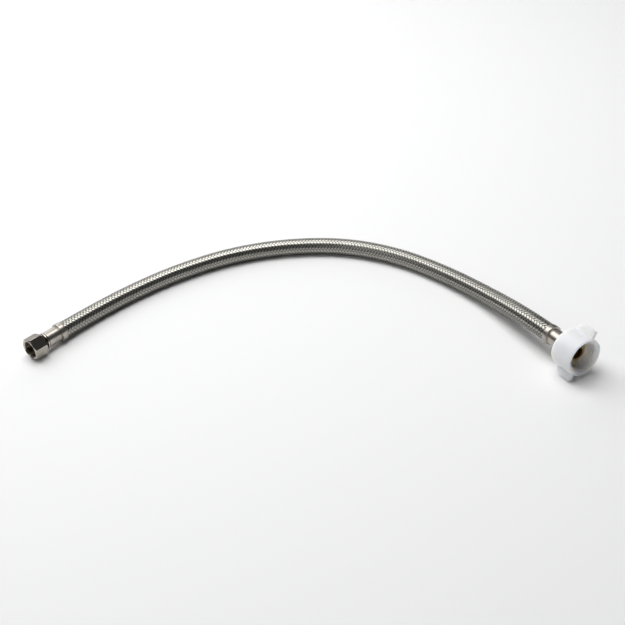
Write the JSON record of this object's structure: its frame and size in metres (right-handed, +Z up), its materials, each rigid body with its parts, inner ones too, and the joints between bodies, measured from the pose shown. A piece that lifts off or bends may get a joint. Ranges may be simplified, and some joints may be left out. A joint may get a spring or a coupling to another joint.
{
  "type": "braided water supply line",
  "caption": "Flexible steel-braided water hose lying in an arc, with a hexagonal compression nut on one end and a winged plastic toilet-fill-valve nut on the other.",
  "frame": {"origin": "middle of the two end fittings' bounding box, on the surface that the line lies on", "axes": "+X from the compression nut to the ballcock nut, +Y towards the crown of the hose's arc, +Z up"},
  "size_m": [0.4252, 0.1681, 0.0335],
  "materials": {
    "braid_steel": "bright stainless wire, woven",
    "tube_polymer": "matt extruded polymer",
    "nickel": "nickel-plated, turned",
    "ring_steel": "bright rolled edge",
    "ferrule_steel": "satin drawn sleeve",
    "brass": "turned, slightly dull",
    "seal_rubber": "matt moulded",
    "washer_polymer": "matt acetal",
    "white_plastic": "satin moulded acetal"
  },
  "bodies": {
    "hose": {"steel_braid": "braid_steel", "inner_tube": "tube_polymer", "compression_insert": "brass", "compression_cone_washer": "seal_rubber", "compression_stop_ring": "ring_steel", "compression_ferrule": "ferrule_steel", "ballcock_insert": "brass", "ballcock_cone_washer": "seal_rubber", "ballcock_ferrule": "ferrule_steel"},
    "compression_slip": {"compression_slip_washer": "washer_polymer"},
    "compression_swivel": {"compression_nut": "nickel"},
    "ballcock_slip": {"ballcock_slip_washer": "washer_polymer"},
    "ballcock_swivel": {"ballcock_nut": "white_plastic"}
  },
  "joints": [
    {"name": "compression_nut_slide", "type": "slide", "parent": "hose", "child": "compression_slip", "axis": [-0.5204, -0.8525, 0.0488], "range_m": [-0.0019, 0]},
    {"name": "compression_nut_spin", "type": "hinge", "parent": "compression_slip", "child": "compression_swivel", "pos_m": [-0.20232, -0.00456, 0.00916], "axis": [-0.5204, -0.8525, 0.0488], "continuous": true},
    {"name": "ballcock_nut_slide", "type": "slide", "parent": "hose", "child": "ballcock_slip", "axis": [0.6534, -0.757, 0], "range_m": [-0.0115, 0]},
    {"name": "ballcock_nut_spin", "type": "hinge", "parent": "ballcock_slip", "child": "ballcock_swivel", "pos_m": [0.19641, -0.00518, 0.01685], "axis": [0.6534, -0.757, 0], "continuous": true}
  ]
}
